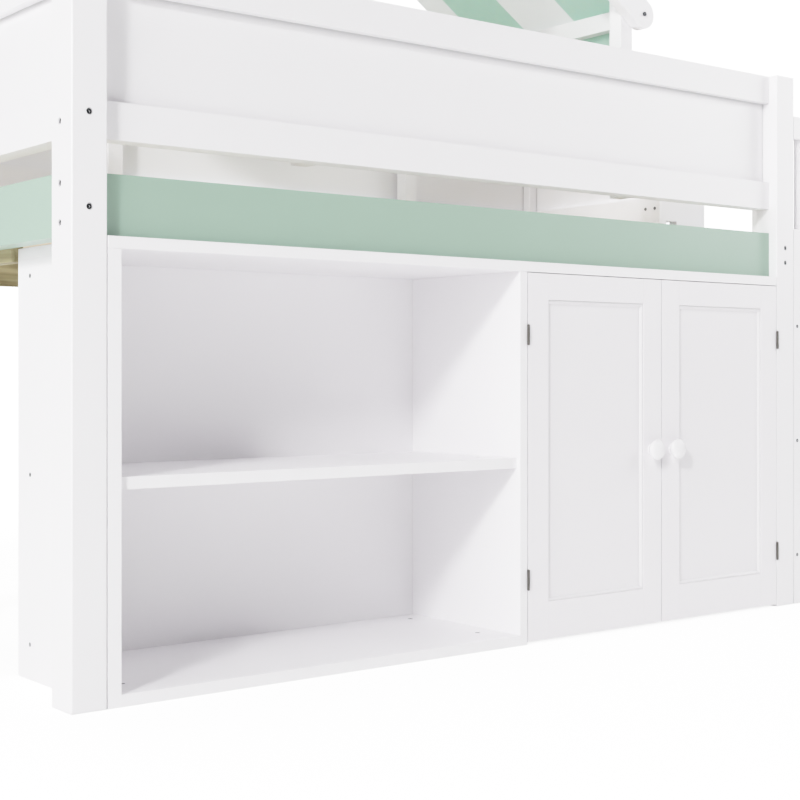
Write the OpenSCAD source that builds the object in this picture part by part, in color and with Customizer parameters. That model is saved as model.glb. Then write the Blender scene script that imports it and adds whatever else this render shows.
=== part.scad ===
// Loft bed with a shelf and cupboard between the front posts, framed guards,
// a ladder at one end and a small gabled roof frame that carries a striped cloth.
// X runs along the bed, Y from the front to the rear, Z up. Millimetres.

/* [Bed] */
// Clear length between the left and right posts
inner_len = 2000; // [1700:5:2300]
// Overall width over the posts
bed_w = 1060; // [900:5:1400]
// Height of the posts
post_h = 1438; // [1380:1:1600]

/* [Posts] */
// Width of a post along the bed
post_w = 74; // [66:1:110]
// Depth of a post across the bed
post_d = 86; // [78:1:120]
// Radius of a post's upright edges
post_round = 4; // [1:0.5:8]

/* [Rails] */
// Thickness of the bed rails and guard rails
rail_t = 46; // [36:1:50]
// Height of a bed rail
rail_h = 120; // [100:1:140]
// Distance of a side rail behind the front of the posts
side_recess = 27; // [14:1:30]
// Distance of an end rail behind the outer side of the posts
end_recess = 14; // [6:1:18]

/* [Slatted base] */
// Thickness of the ledges under the slats
ledge_t = 28; // [18:1:35]
// Height of the ledges' top above the lower edge of the rails
ledge_up = 38; // [25:1:50]
// Drop of the rear ledge below the rails
rear_ledge_drop = 45; // [10:1:60]
// Drop of the end ledges below the rails
end_ledge_drop = 28; // [5:1:35]
// Number of slats
slat_count = 14; // [8:1:16]
// Width of a slat
slat_w = 70; // [50:1:90]
// Thickness of a slat
slat_t = 18; // [12:1:25]

/* [Guards] */
// Height of a guard's top and bottom rail
guard_rail_h = 73; // [60:1:90]
// Gap between a bed rail and the guard above it
guard_gap = 65; // [45:1:75]
// Thickness of a guard panel
guard_panel_t = 10; // [6:1:14]
// Depth of a guard panel behind the face of its rails
guard_panel_in = 20; // [8:1:22]
// Depth of the grooves that hold a guard panel
guard_groove = 8; // [4:1:15]

/* [Frame bolts] */
// Diameter of the frame bolts
bolt_d = 6; // [5:0.5:8]
// Diameter of a bolt head
head_d = 10; // [9:0.5:13]
// Height of a bolt head
head_h = 4; // [3:0.5:6]
// Distance of a side rail's bolts from the middle of the rail
side_bolt_spread = 37; // [34:1:42]
// Distance of the right end rail's bolts from the middle of the rail
end_bolt_spread = 20; // [15:0.5:20]
// Height step that keeps crossing bolts apart
bolt_stagger = 8; // [6:0.5:10]
// Diameter of a barrel nut
nut_d = 12; // [11:0.5:14]
// Distance of a barrel nut from the end of its rail
nut_in = 45; // [30:1:60]

/* [Ladder] */
// Clear width between the ladder stiles
ladder_w = 380; // [300:5:450]
// Reach of the ladder beyond the posts
ladder_reach = 110; // [90:1:180]
// Thickness of a ladder stile
stile_t = 28; // [22:1:40]
// Height of the ladder stiles
stile_h = 1334; // [1300:1:1370]
// Height of the middle of the lowest tread
tread_first = 134; // [80:1:200]
// Step from one tread to the next
tread_step = 313; // [200:1:330]
// Thickness of a tread
tread_t = 24; // [18:1:35]
// Width of the hand grip cut into the front stile beside the post
grip_w = 36; // [25:1:50]
// Height of the hand grip's lower end
grip_z = 1026; // [1010:1:1080]
// Height of the hand grip's upper end
grip_top = 1274; // [1180:1:1280]

/* [Cabinet] */
// Depth of the cabinet
cab_d = 398; // [300:1:450]
// Height of the cabinet
cab_h = 892; // [800:1:950]
// Thickness of the top board, the shelves and the bottom board
board_t = 24; // [18:1:28]
// Thickness of the cabinet sides
cab_side_t = 28; // [20:1:35]
// Thickness of the divider
divider_t = 22; // [18:1:30]
// Clear width of the open bay
bay_w = 1026; // [700:1:1120]
// Clearance between the cabinet and a post
cab_gap = 1; // [0.5:0.1:1]
// Thickness of the back panel
back_t = 6; // [3:0.5:10]
// Height of the shelves' top
shelf_top = 435; // [300:1:550]
// Distance of the open shelf behind the cabinet's front
shelf_in = 12; // [0:1:40]

/* [Doors] */
// Thickness of a door
door_t = 22; // [18:1:26]
// Width of a door's stiles
door_stile = 65; // [50:1:80]
// Distance of a knob from its door's free edge
knob_inset = 37; // [28:1:40]
// Height of a door's top rail
door_top_rail = 62; // [50:1:90]
// Height of a door's bottom rail
door_low_rail = 89; // [60:1:120]
// Gap round the doors
door_gap = 3.2; // [2.6:0.1:4]
// Gap above the doors
door_head_gap = 1.8; // [1:0.1:3]
// Height of the doors above the floor
door_up = 6; // [3:1:15]
// Thickness of a door panel's field
panel_t = 8; // [6:1:10]
// Depth of the bevel round a door panel
bevel = 5; // [3:0.5:6]
// Opening angle of the doors
door_open = 110; // [90:1:120]

/* [Door fittings] */
// Diameter of a knob
knob_d = 50; // [30:1:55]
// Height of a knob in front of its door
knob_out = 34; // [24:1:45]
// Height of the knobs above the floor
knob_z = 441; // [300:1:600]
// Outer diameter of a hinge's knuckle
knuckle_d = 6; // [5:0.5:9]
// Diameter of a hinge pin
pin_d = 3; // [2:0.5:4]
// Length of a hinge
hinge_len = 47; // [35:1:60]
// Thickness of a hinge leaf
leaf_t = 1.4; // [1:0.1:1.5]
// Distance of the hinges from the ends of a door
hinge_in = 145; // [80:1:200]

/* [Roof frame] */
// Distance between the middles of the left and right uprights
roof_span = 978; // [700:2:1100]
// Width and depth of an upright
upright_w = 40; // [30:1:50]
// Pitch of the roof in degrees
pitch = 34.3; // [25:0.1:45]
// Height of a rafter across its grain
rafter_h = 72; // [55:1:90]
// Thickness of the rafters and the width of the eave bars
rafter_t = 28; // [20:1:32]
// Height of the middle of the eave bars above the posts
eave_up = 103; // [90:1:160]
// Height of an eave bar
eave_h = 46; // [35:1:55]
// Diameter of the ridge pole
ridge_d = 44; // [30:1:50]

/* [Cloth] */
// Width of the cloth along the ridge
cloth_w = 630; // [300:5:650]
// Distance of the cloth's front edge behind the front of the posts
cloth_in = 118; // [115:1:150]
// Thickness of the cloth
cloth_t = 1.6; // [1:0.1:3]
// Drop of the cloth below the top of the eave bars
cloth_drop = 150; // [80:1:200]
// Sag of the cloth between the ridge pole and an eave bar
cloth_sag = 10; // [0:1:25]
// Depth of the waves in the hanging edge
wave_depth = 9; // [0:0.5:15]

/* [Hidden] */
$fn = 32;

// Colours
white = "white";
mint = "#a9c4b6";
pine = "#d3b083";
steel = "#8a8d90";

// Fits
hole_play = 0.2;
nut_play = 0.1;
panel_play = 0.3;
soft_play = 0.4;
cut = 1;

// Overall places
bed_l = inner_len + 2 * post_w;
mid_x = bed_l / 2;
bed_x_hi = bed_l + ladder_reach;
rail_z = cab_h;
rail_mid = rail_z + rail_h / 2;
guard_z = rail_z + rail_h + guard_gap;
guard_low_mid = guard_z + guard_rail_h / 2;
guard_top_z = post_h - guard_rail_h;
guard_top_mid = guard_top_z + guard_rail_h / 2;
side_in = side_recess + rail_t;
end_in = end_recess + rail_t;
side_bolt_y = side_recess + rail_t / 2;
end_bolt_x = end_recess + rail_t / 2;
ledge_z = rail_z + ledge_up;

// Bolts
head_sink = head_h + 2;
sink_d = head_d + 3.5;
bolt_past_nut = 10;
nut_len = 30;
z_side_rail = [rail_mid - side_bolt_spread, rail_mid + side_bolt_spread];
z_side_guard = [guard_low_mid - bolt_stagger, guard_top_mid - bolt_stagger];
z_end_rail = [rail_mid - bolt_stagger];
z_entry_rail = [rail_mid - end_bolt_spread, rail_mid + end_bolt_spread];
z_end_guard = [guard_low_mid + bolt_stagger, guard_top_mid + bolt_stagger];

// Ladder and entry
entry_y = stile_t + ladder_w;
rear_stile_y = entry_y;
entry_upright_w = 74;
entry_upright_t = 28;
entry_upright_x = bed_l - end_in - entry_upright_t;
tread_zs = [for (i = [0:2]) tread_first + i * tread_step];
tread_in = 5;
tread_d = ladder_reach - 2 * tread_in;
stile_round = 30;
screw_d = 5;
screw_head_d = 9;
screw_head_h = 3;
screw_sink = 2.8;
screw_len = 45;
bracket_w = 40;
bracket_t = 3;
bracket_h = 50;
bracket_hole_in = 26;
bracket_hole_z = 13;
bracket_screw_len = 25;
bracket_front_zs = [300, rail_mid];

// Cabinet
cab_x = post_w + cab_gap;
cab_x_hi = bed_l - post_w - cab_gap;
board_z = cab_h - board_t;
bay_x = cab_x + cab_side_t;
divider_x = bay_x + bay_w;
cup_x = divider_x + divider_t;
cup_x_hi = cab_x_hi - cab_side_t;
shelf_z = shelf_top - board_t;
cup_front = door_t + 2;
cam_d = 12;
cam_deep = 12;
cam_in = 50;
cam_ys = [93, 345];
dowel_d = 7;
brace_zs = [board_t + 49, board_z - 35];
brace_w = 30;
brace_h = 60;
shelf_pin_d = 5;
shelf_pin_in = 9;
shelf_pin_out = 12;
pin_plate_d = 8;

// Doors
door_x = cup_x;
door_x_hi = bed_l - post_w;
door_z = door_up;
door_top = board_z - door_head_gap;
door_h = door_top - door_z;
door_w = (door_x_hi - door_x - 3 * door_gap) / 2;
left_door_x = door_x + door_gap;
right_door_x = door_x_hi - door_gap - door_w;
hinge_y = -knuckle_d / 2;
hinge_left_x = door_x + door_gap / 2;
hinge_right_x = door_x_hi - door_gap / 2;
hinge_zs = [door_z + hinge_in, door_top - hinge_in];
leaf_d = 22;
pin_play = 0.05;
pin_hold = 0.01;
leaf_play = 0.3;
groove_in = 8;
tongue_t = panel_t - 2;
rim_in = 2;
knob_base_r = 13;
knob_neck_r = 10;
knob_crown = 13;
knob_screw_d = 4;
knob_screw_in = 14;
catch_l = 56;
catch_d = 14;
catch_h = 15;

// Roof
eave_z = post_h + eave_up;
upright_x = roof_span / 2;
eave_x = upright_x + upright_w / 2 + rafter_t / 2;
upright_top = eave_z + eave_h / 2 + 26;
rafter_y = side_in - rafter_t;
bar_y = side_in;
bar_len = bed_w - 2 * bar_y;
eave_edge_x = eave_x + rafter_t / 2;
eave_top = eave_z + eave_h / 2;
ridge_z = eave_top + eave_edge_x * tan(pitch) - ridge_d / 2 / cos(pitch);
rafter_len = eave_x / cos(pitch) + rafter_h;
upright_screw_len = upright_w + 20;
mitre_gap = 0.2;
ridge_screw_x = 9;

// Model centre, so that the origin lies under the middle of the whole outline
front_y = -knob_out;
centre_x = bed_x_hi / 2;
centre_y = (front_y + bed_w) / 2;

module placed() translate([-centre_x, -centre_y, 0]) children();

// A box from its lowest corner and its size
module board(at, size) translate(at) cube(size);

// A board whose four upright edges are rounded
module rounded_bar(w, d, h, r) {
  linear_extrude(h) {
    translate([r, 0]) square([w - 2 * r, d]);
    translate([0, r]) square([w, d - 2 * r]);
    for (x = [r, w - r], y = [r, d - r]) translate([x, y]) circle(r);
  }
}

// Sites of the bolts: [place, rotation] with the local Z running inwards
function x_sites(e, s, zs) = [for (z = zs)
  [[e * bed_l, s == 0 ? side_bolt_y : bed_w - side_bolt_y, z], [0, e == 0 ? 90 : -90, 0]]];
function y_sites(e, s, zs) = [for (z = zs)
  [[e == 0 ? end_bolt_x : bed_l - end_bolt_x, s * bed_w, z], [s == 0 ? -90 : 90, 0, 0]]];
function side_zs() = concat(z_side_rail, z_side_guard);
function end_zs(e, s) = e == 0 ? concat(z_end_rail, z_end_guard)
  : (s == 0 ? z_entry_rail : concat(z_entry_rail, z_end_guard));
function all_x_sites() = [for (e = [0, 1], s = [0, 1], site = x_sites(e, s, side_zs())) site];
function all_y_sites() = [for (e = [0, 1], s = [0, 1], site = y_sites(e, s, end_zs(e, s))) site];

module at_sites(sites) {
  for (site = sites) translate(site[0]) rotate(site[1]) children();
}

// The way a bolt goes through a post and into a rail's end
module bolt_way(depth) {
  translate([0, 0, -cut]) cylinder(d = sink_d, h = head_sink + cut);
  cylinder(d = bolt_d + 2 * hole_play, h = depth + nut_in + bolt_past_nut + cut);
}

// The cross hole of a barrel nut, open on the rail's inner face; inner is 1 or -1 along local Y
module nut_way(depth, inner) {
  deep = nut_len / 2 + nut_play;
  translate([0, -inner * deep, depth + nut_in]) rotate([-90 * inner, 0, 0])
    cylinder(d = nut_d + 2 * nut_play, h = deep + rail_t / 2 + cut);
}

module frame_bolt(depth) {
  socket = 5;
  difference() {
    union() {
      translate([0, 0, head_sink - head_h]) cylinder(d = head_d, h = head_h);
      translate([0, 0, head_sink]) cylinder(d = bolt_d, h = depth + nut_in + bolt_past_nut - head_sink);
    }
    translate([0, 0, head_sink - head_h - cut]) cylinder(d = socket, h = head_h / 2 + cut, $fn = 6);
  }
}

module barrel_nut(depth) {
  translate([0, 0, depth + nut_in]) difference() {
    rotate([90, 0, 0]) cylinder(d = nut_d, h = nut_len, center = true);
    cylinder(d = bolt_d + 2 * nut_play, h = nut_d + 2 * cut, center = true);
  }
}

// A countersunk-look screw with a low round head, local Z running inwards
module low_screw(len) {
  slot = 1.2;
  difference() {
    union() {
      translate([0, 0, screw_sink - screw_head_h]) cylinder(d = screw_head_d, h = screw_head_h);
      translate([0, 0, screw_sink]) cylinder(d = screw_d, h = len - screw_sink);
    }
    translate([-screw_head_d / 3, -slot / 2, screw_sink - screw_head_h - cut])
      cube([screw_head_d * 2 / 3, slot, cut + 1]);
  }
}

module screw_way(len) {
  translate([0, 0, -cut]) cylinder(d = screw_head_d + 2 * hole_play, h = screw_sink + cut);
  cylinder(d = screw_d + 2 * nut_play, h = len + cut);
}

// Posts
module post(e, s) {
  color(white) placed() difference() {
    translate([e * (bed_l - post_w), s * (bed_w - post_d), 0])
      rounded_bar(post_w, post_d, post_h, post_round);
    at_sites(x_sites(e, s, side_zs())) bolt_way(post_w);
    at_sites(y_sites(e, s, end_zs(e, s))) bolt_way(post_d);
    if (e == 1 && s == 0) at_sites(bracket_screw_sites()) bracket_screw_way();
  }
}
module post_front_left() post(0, 0);
module post_front_right() post(1, 0);
module post_rear_left() post(0, 1);
module post_rear_right() post(1, 1);

// A rail along the bed, bolted to the posts of one side
module long_rail(s, z, h, bolt_zs, shade, groove_at) {
  y = s == 0 ? side_recess : bed_w - side_in;
  panel_y = s == 0 ? side_recess + guard_panel_in : bed_w - side_recess - guard_panel_in - guard_panel_t;
  color(shade) placed() difference() {
    board([post_w, y, z], [inner_len, rail_t, h]);
    for (e = [0, 1]) at_sites(x_sites(e, s, bolt_zs)) {
      bolt_way(post_w);
      nut_way(post_w, s == 0 ? 1 : -1);
    }
    if (groove_at != undef)
      board([post_w - cut, panel_y - panel_play, groove_at],
        [inner_len + 2 * cut, guard_panel_t + 2 * panel_play, guard_groove]);
    if (groove_at != undef) at_sites(upright_screw_sites()) screw_way(upright_screw_len);
  }
}

// A rail across the bed at one end, from y0 to the rear post
module cross_rail(e, y0, z, h, front_zs, rear_zs, shade, groove_at) {
  x = e == 0 ? end_recess : bed_l - end_in;
  panel_x = e == 0 ? end_recess + guard_panel_in
    : bed_l - end_recess - guard_panel_in - guard_panel_t;
  color(shade) placed() difference() {
    board([x, y0, z], [rail_t, bed_w - post_d - y0, h]);
    for (s = [0, 1]) at_sites(y_sites(e, s, s == 0 ? front_zs : rear_zs)) {
      bolt_way(post_d);
      rotate([0, 0, -90]) nut_way(post_d, e == 0 ? 1 : -1);
    }
    if (groove_at != undef)
      board([panel_x - panel_play, y0 - cut, groove_at],
        [guard_panel_t + 2 * panel_play, bed_w + 2 * cut, guard_groove]);
    if (y0 == entry_y) at_sites(entry_screw_sites([z + h / 2])) screw_way(screw_len);
    if (e == 1) at_sites(bracket_screw_sites()) bracket_screw_way();
  }
}

// Bed rails
module side_rail_front() long_rail(0, rail_z, rail_h, z_side_rail, mint);
module side_rail_rear() long_rail(1, rail_z, rail_h, z_side_rail, mint);
module end_rail_left() cross_rail(0, post_d, rail_z, rail_h, z_end_rail, z_end_rail, mint);
module end_rail_right() cross_rail(1, post_d, rail_z, rail_h, z_entry_rail, z_entry_rail, mint);

// Guards
top_groove = guard_top_z;
low_groove = guard_z + guard_rail_h - guard_groove;
module guard_front_top_rail()
  long_rail(0, guard_top_z, guard_rail_h, [z_side_guard[1]], white, top_groove);
module guard_front_bottom_rail()
  long_rail(0, guard_z, guard_rail_h, [z_side_guard[0]], white, low_groove);
module guard_rear_top_rail()
  long_rail(1, guard_top_z, guard_rail_h, [z_side_guard[1]], white, top_groove);
module guard_rear_bottom_rail()
  long_rail(1, guard_z, guard_rail_h, [z_side_guard[0]], white, low_groove);
module guard_left_top_rail()
  cross_rail(0, post_d, guard_top_z, guard_rail_h, [z_end_guard[1]], [z_end_guard[1]], white, top_groove);
module guard_left_bottom_rail()
  cross_rail(0, post_d, guard_z, guard_rail_h, [z_end_guard[0]], [z_end_guard[0]], white, low_groove);
module guard_right_top_rail()
  cross_rail(1, entry_y, guard_top_z, guard_rail_h, [], [z_end_guard[1]], white, top_groove);
module guard_right_bottom_rail()
  cross_rail(1, entry_y, guard_z, guard_rail_h, [], [z_end_guard[0]], white, low_groove);

panel_z = guard_z + guard_rail_h - guard_groove;
panel_h = guard_top_z + guard_groove - panel_play - panel_z;
module guard_front_panel() color(white) placed()
  board([post_w, side_recess + guard_panel_in, panel_z], [inner_len, guard_panel_t, panel_h]);
module guard_rear_panel() color(white) placed()
  board([post_w, bed_w - side_recess - guard_panel_in - guard_panel_t, panel_z],
    [inner_len, guard_panel_t, panel_h]);
module guard_left_panel() color(white) placed()
  board([end_recess + guard_panel_in, post_d, panel_z],
    [guard_panel_t, bed_w - 2 * post_d, panel_h]);
module guard_right_panel() color(white) placed()
  board([bed_l - end_recess - guard_panel_in - guard_panel_t, entry_y, panel_z],
    [guard_panel_t, bed_w - post_d - entry_y, panel_h]);

// The upright inside the right guard, at the entry
function entry_screw_sites(zs) = [for (z = zs, dy = [-18, 18])
  [[entry_upright_x, entry_y + entry_upright_w / 2 + dy, z], [0, 90, 0]]];
module entry_upright() color(white) placed() difference() {
  board([entry_upright_x, entry_y, ledge_z], [entry_upright_t, entry_upright_w, post_h - ledge_z]);
  at_sites(entry_screw_sites([guard_low_mid, guard_top_mid])) screw_way(screw_len);
}

// Bolts, nuts and screws of the frame
module frame_bolts() color(steel) placed() {
  at_sites(all_x_sites()) frame_bolt(post_w);
  at_sites(all_y_sites()) frame_bolt(post_d);
  at_sites(entry_screw_sites([guard_low_mid, guard_top_mid])) low_screw(screw_len);
  at_sites(upright_screw_sites()) low_screw(upright_screw_len);
  at_sites(ridge_screw_sites()) low_screw(upright_screw_len);
  at_sites(bracket_screw_sites()) bracket_screw();
  at_sites(tread_screw_sites()) low_screw(screw_len);
  at_sites(roof_bolt_sites()) frame_bolt_short();
}
module barrel_nuts() color(steel) placed() {
  at_sites(all_x_sites()) barrel_nut(post_w);
  for (site = all_y_sites()) at_sites([site]) rotate([0, 0, 90]) barrel_nut(post_d);
}

// Slatted base
module ledge_front() color(pine) placed()
  board([post_w + cab_gap, side_in, rail_z + 1],
    [inner_len - 2 * cab_gap, ledge_t, ledge_up - 1]);
module ledge_rear() color(pine) placed()
  board([post_w + cab_gap, bed_w - side_in - ledge_t, rail_z - rear_ledge_drop],
    [inner_len - 2 * cab_gap, ledge_t, ledge_up + rear_ledge_drop]);
module end_ledges() color(pine) placed() {
  y0 = cab_d + back_t + 2;
  for (x = [end_in, bed_l - end_in - ledge_t])
    board([x, y0, rail_z - end_ledge_drop],
      [ledge_t, bed_w - side_in - ledge_t - y0, ledge_up + end_ledge_drop]);
}
slat_x0 = end_in + ledge_t + 6;
slat_x1 = bed_l - end_in - ledge_t - 6 - slat_w;
slat_pitch = (slat_x1 - slat_x0) / (slat_count - 1);
module slats() color(pine) placed()
  for (i = [0:slat_count - 1])
    board([slat_x0 + i * slat_pitch, side_in + 2, ledge_z],
      [slat_w, bed_w - 2 * side_in - 4, slat_t]);

// Ladder
function tread_screw_sites() = [for (z = tread_zs, dx = [14, ladder_reach - 30], s = [0, 1])
  [[bed_l + dx, s == 0 ? 0 : rear_stile_y + stile_t, z], [s == 0 ? -90 : 90, 0, 0]]];

module stile(x0, y0) {
  w = bed_x_hi - x0;
  r = stile_round;
  color(white) placed() difference() {
    translate([x0, y0 + stile_t, 0]) rotate([90, 0, 0]) linear_extrude(stile_t) {
      square([w, stile_h - r]);
      square([w - r, stile_h]);
      translate([w - r, stile_h - r]) circle(r);
    }
    if (y0 == 0) board([x0 - cut, -cut, grip_z], [grip_w + cut, stile_t + 2 * cut, grip_top - grip_z]);
    at_sites(tread_screw_sites()) screw_way(screw_len);
    at_sites(bracket_screw_sites()) bracket_screw_way();
  }
}
module ladder_stile_front() stile(bed_l, 0);
module ladder_stile_rear() stile(bed_l - end_recess, rear_stile_y);
module ladder_treads() color(white) placed() difference() {
  for (z = tread_zs)
    board([bed_l + tread_in, stile_t, z - tread_t / 2], [tread_d, ladder_w, tread_t]);
  at_sites(tread_screw_sites()) screw_way(screw_len);
}

// An angle bracket in the corner between a stile and what it is fixed to
module angle_bracket() {
  board([0, 0, -bracket_h / 2], [bracket_t, bracket_w, bracket_h]);
  board([0, 0, -bracket_h / 2], [bracket_w, bracket_t, bracket_h]);
}
// The corners that hold a bracket: [corner, direction of its leg along Y]
bracket_corners = concat(
  [for (z = bracket_front_zs) [[bed_l, stile_t, z], 1]],
  [[[bed_l - end_recess, rear_stile_y, rail_mid], -1],
   [[bed_l - end_recess, rear_stile_y + stile_t, guard_low_mid], 1]]
);
// Screws of the brackets, with the local Z running into the wood
function bracket_screw_sites() = [
  for (b = bracket_corners, dz = [-bracket_hole_z, bracket_hole_z], leg = [0, 1])
    leg == 0
      ? [[b[0][0] + bracket_t, b[0][1] + b[1] * bracket_hole_in, b[0][2] + dz], [0, -90, 0]]
      : [[b[0][0] + bracket_hole_in, b[0][1] + b[1] * bracket_t, b[0][2] + dz], [90 * b[1], 0, 0]]];
module bracket_screw() {
  translate([0, 0, -2]) cylinder(d = screw_head_d, h = 2);
  cylinder(d = screw_d, h = bracket_screw_len);
}
module bracket_screw_way() {
  translate([0, 0, -cut]) cylinder(d = screw_d + 2 * nut_play, h = bracket_screw_len + 2 * cut);
}
module ladder_brackets() color(steel) placed() difference() {
  for (b = bracket_corners) translate(b[0]) mirror([0, b[1] > 0 ? 0 : 1, 0]) angle_bracket();
  at_sites(bracket_screw_sites()) bracket_screw_way();
}

// Cabinet
function cams_at(x0, x1, z) = [for (x = [x0 + cam_in, x1 - cam_in], y = cam_ys) [x, y, z]];
module cam_ways(x0, x1, z) {
  for (p = cams_at(x0, x1, z))
    translate([p[0], p[1], p[2] - cam_deep]) cylinder(d = cam_d + 2 * nut_play, h = cam_deep + cut);
}
module dowel_ways(z) {
  for (y = cam_ys) translate([cab_x - cut, y, z]) rotate([0, 90, 0]) {
    cylinder(d = screw_head_d + 2 * hole_play, h = screw_sink + cut);
    cylinder(d = dowel_d + 2 * nut_play, h = cab_side_t + cam_in - cam_d / 2 + cut);
  }
}
function brace_sites() = [for (z = brace_zs) [[cab_x, cam_ys[1], z], [0, 90, 0]]];

module cabinet_top() color(white) placed()
  board([cab_x, 0, board_z], [cab_x_hi - cab_x, cab_d, board_t]);
module cabinet_side_left() color(white) placed() difference() {
  board([cab_x, 0, 0], [cab_side_t, cab_d, board_z]);
  dowel_ways(shelf_z + board_t / 2);
  at_sites(brace_sites()) screw_way(screw_len);
}
module cabinet_side_right() color(white) placed() difference() {
  board([cab_x_hi - cab_side_t, cup_front, 0], [cab_side_t, cab_d - cup_front, board_z]);
  at_sites(pin_sites()) pin_way();
}
module cabinet_divider() color(white) placed() difference() {
  board([divider_x, 0, 0], [divider_t, cab_d, board_z]);
  at_sites(pin_sites()) pin_way();
}
module cabinet_bottom() color(white) placed() difference() {
  union() {
    board([bay_x, 0, 0], [bay_w, cab_d, board_t]);
    board([cup_x, cup_front, 0], [cup_x_hi - cup_x, cab_d - cup_front, board_t]);
  }
  cam_ways(bay_x, divider_x, board_t);
  cam_ways(cup_x, cup_x_hi, board_t);
}
module cabinet_back() color(white) placed()
  board([cab_x, cab_d, 0], [cab_x_hi - cab_x, back_t, cab_h]);
module bay_shelf() color(white) placed() difference() {
  board([bay_x, shelf_in, shelf_z], [bay_w, cab_d - shelf_in, board_t]);
  cam_ways(bay_x, divider_x, shelf_top);
  dowel_ways(shelf_z + board_t / 2);
}
module cupboard_shelf() color(white) placed()
  board([cup_x + cab_gap, cup_front + 20, shelf_z],
    [cup_x_hi - cup_x - 2 * cab_gap, cab_d - cup_front - 20, board_t]);
// Shelf pins, with the local Z running into the side
function pin_sites() = [for (y = cam_ys, e = [0, 1])
  [[e == 0 ? cup_x : cup_x_hi, y, shelf_z - pin_plate_d / 2], [0, e == 0 ? -90 : 90, 0]]];
module pin_way() translate([0, 0, -cut]) cylinder(d = shelf_pin_d + 2 * nut_play, h = shelf_pin_in + cut);
module shelf_pins() color(steel) placed() at_sites(pin_sites()) {
  translate([0, 0, -shelf_pin_out]) cylinder(d = pin_plate_d, h = shelf_pin_out);
  cylinder(d = shelf_pin_d, h = shelf_pin_in - 0.5);
}
module cam_locks() color(steel) placed() {
  slot = 1.4;
  for (p = concat(cams_at(bay_x, divider_x, board_t), cams_at(bay_x, divider_x, shelf_top),
      cams_at(cup_x, cup_x_hi, board_t)))
    translate([p[0], p[1], p[2] - cam_deep + 0.4]) difference() {
      cylinder(d = cam_d, h = cam_deep - 0.8);
      for (a = [0, 90]) rotate([0, 0, a])
        translate([-3.5, -slot / 2, cam_deep - 2]) cube([7, slot, 2]);
    }
  for (y = cam_ys) translate([cab_x, y, shelf_z + board_t / 2]) rotate([0, 90, 0]) {
    translate([0, 0, 0.2]) cylinder(d = screw_head_d, h = screw_sink - 0.2);
    translate([0, 0, screw_sink])
      cylinder(d = dowel_d, h = cab_side_t + cam_in - cam_d / 2 - screw_sink - 0.5);
  }
  at_sites(brace_sites()) low_screw(cab_side_t + bracket_t);
}
module corner_brackets() color(steel) placed() {
  for (z = brace_zs, e = [0, 1]) {
    up = z > board_z / 2;
    at_z = up ? board_z : board_t;
    translate([e == 0 ? bay_x : cup_x_hi, cam_ys[1] - brace_w / 2, at_z])
      mirror([e, 0, 0]) mirror([0, 0, up ? 1 : 0]) difference() {
        union() {
          cube([bracket_t, brace_w, brace_h]);
          cube([bracket_w, brace_w, bracket_t]);
        }
        translate([-cut, brace_w / 2, abs(z - at_z)]) rotate([0, 90, 0])
          cylinder(d = screw_d + 2 * nut_play, h = bracket_t + 2 * cut);
      }
  }
}

// Doors: e is 0 for the left door and 1 for the right one
function door_at(e) = e == 0 ? left_door_x : right_door_x;
stile_z = door_z + door_low_rail;
window_h = door_h - door_low_rail - door_top_rail;
window_w = door_w - 2 * door_stile;
groove_y = rim_in + bevel + (panel_t - tongue_t) / 2;

module door_stiles(e) color(white) placed() difference() {
  for (x = [0, door_w - door_stile]) board([door_at(e) + x, 0, door_z], [door_stile, door_t, door_h]);
  board([door_at(e) + door_stile - groove_in, groove_y - panel_play / 2, stile_z - groove_in],
    [window_w + 2 * groove_in, tongue_t + panel_play, window_h + 2 * groove_in]);
  translate([knob_x(e), 0, knob_z]) rotate([-90, 0, 0])
    translate([0, 0, -cut]) cylinder(d = knob_screw_d + 2 * nut_play, h = door_t + 2 * cut);
}
module door_rails(e) color(white) placed() difference() {
  for (zh = [[door_z, door_low_rail], [door_top - door_top_rail, door_top_rail]])
    board([door_at(e) + door_stile, 0, zh[0]], [window_w, door_t, zh[1]]);
  board([door_at(e) + door_stile - cut, groove_y - panel_play / 2, stile_z - groove_in],
    [window_w + 2 * cut, tongue_t + panel_play, window_h + 2 * groove_in]);
}

// The panel fills its window, with a bevelled rim that falls to the field
module door_panel(e) color(white) placed() translate([door_at(e) + door_stile, 0, stile_z]) {
  p = panel_play;
  field = rim_in + bevel;
  lip = 4;
  difference() {
    union() {
      board([p, rim_in, p], [window_w - 2 * p, bevel + panel_t, window_h - 2 * p]);
      board([p - groove_in, groove_y, p - groove_in],
        [window_w + 2 * (groove_in - p), tongue_t, window_h + 2 * (groove_in - p)]);
    }
    intersection() {
      translate([0, 0, -cut]) linear_extrude(window_h + 2 * cut)
        polygon([[lip, rim_in - cut], [lip, rim_in], [lip + bevel, field],
          [window_w - lip - bevel, field], [window_w - lip, rim_in], [window_w - lip, rim_in - cut]]);
      translate([-cut, 0, 0]) rotate([90, 0, 90]) linear_extrude(window_w + 2 * cut)
        polygon([[rim_in - cut, lip], [rim_in, lip], [field, lip + bevel],
          [field, window_h - lip - bevel], [rim_in, window_h - lip], [rim_in - cut, window_h - lip]]);
    }
  }
}
function knob_x(e) = e == 0 ? left_door_x + door_w - knob_inset : right_door_x + knob_inset;
module door_knob(e) color(white) placed()
  translate([knob_x(e), 0, knob_z]) rotate([90, 0, 0]) difference() {
    rotate_extrude($fn = 48) {
      square([knob_base_r, 4]);
      square([knob_neck_r, knob_out - knob_crown]);
      intersection() {
        translate([0, knob_out - knob_crown]) scale([knob_d / 2, knob_crown]) circle(1, $fn = 64);
        square([knob_d / 2 + cut, knob_out + cut]);
      }
    }
    translate([0, 0, -cut]) cylinder(d = knob_screw_d + 2 * nut_play, h = knob_screw_in + cut);
  }

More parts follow.
